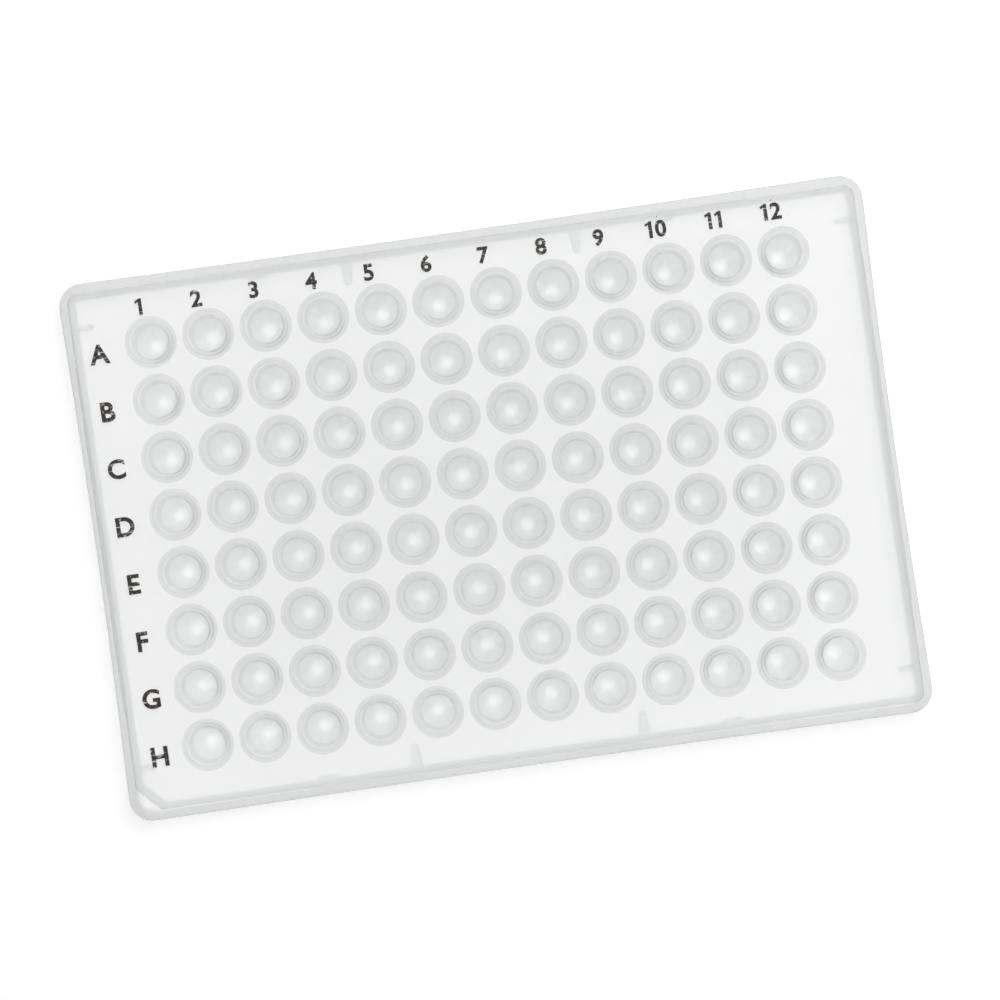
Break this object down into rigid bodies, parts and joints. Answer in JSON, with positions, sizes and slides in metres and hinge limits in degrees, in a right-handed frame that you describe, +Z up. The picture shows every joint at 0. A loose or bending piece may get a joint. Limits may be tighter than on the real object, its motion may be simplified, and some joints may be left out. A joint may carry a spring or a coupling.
{
  "type": "well plate",
  "caption": "Full-skirt laboratory well plate with raised rims and conical tubes under a flat deck, and one cut corner.",
  "frame": {"origin": "middle of the footprint, on the surface the skirt stands on", "axes": "+X along the long side from column 1 to column 12, +Y from row H to row A, +Z up out of the wells"},
  "size_m": [0.1278, 0.0854, 0.0209],
  "materials": {
    "plate_plastic": "natural translucent polypropylene, smooth moulded satin"
  },
  "bodies": {
    "root": {"plate": "plate_plastic"}
  },
  "joints": []
}
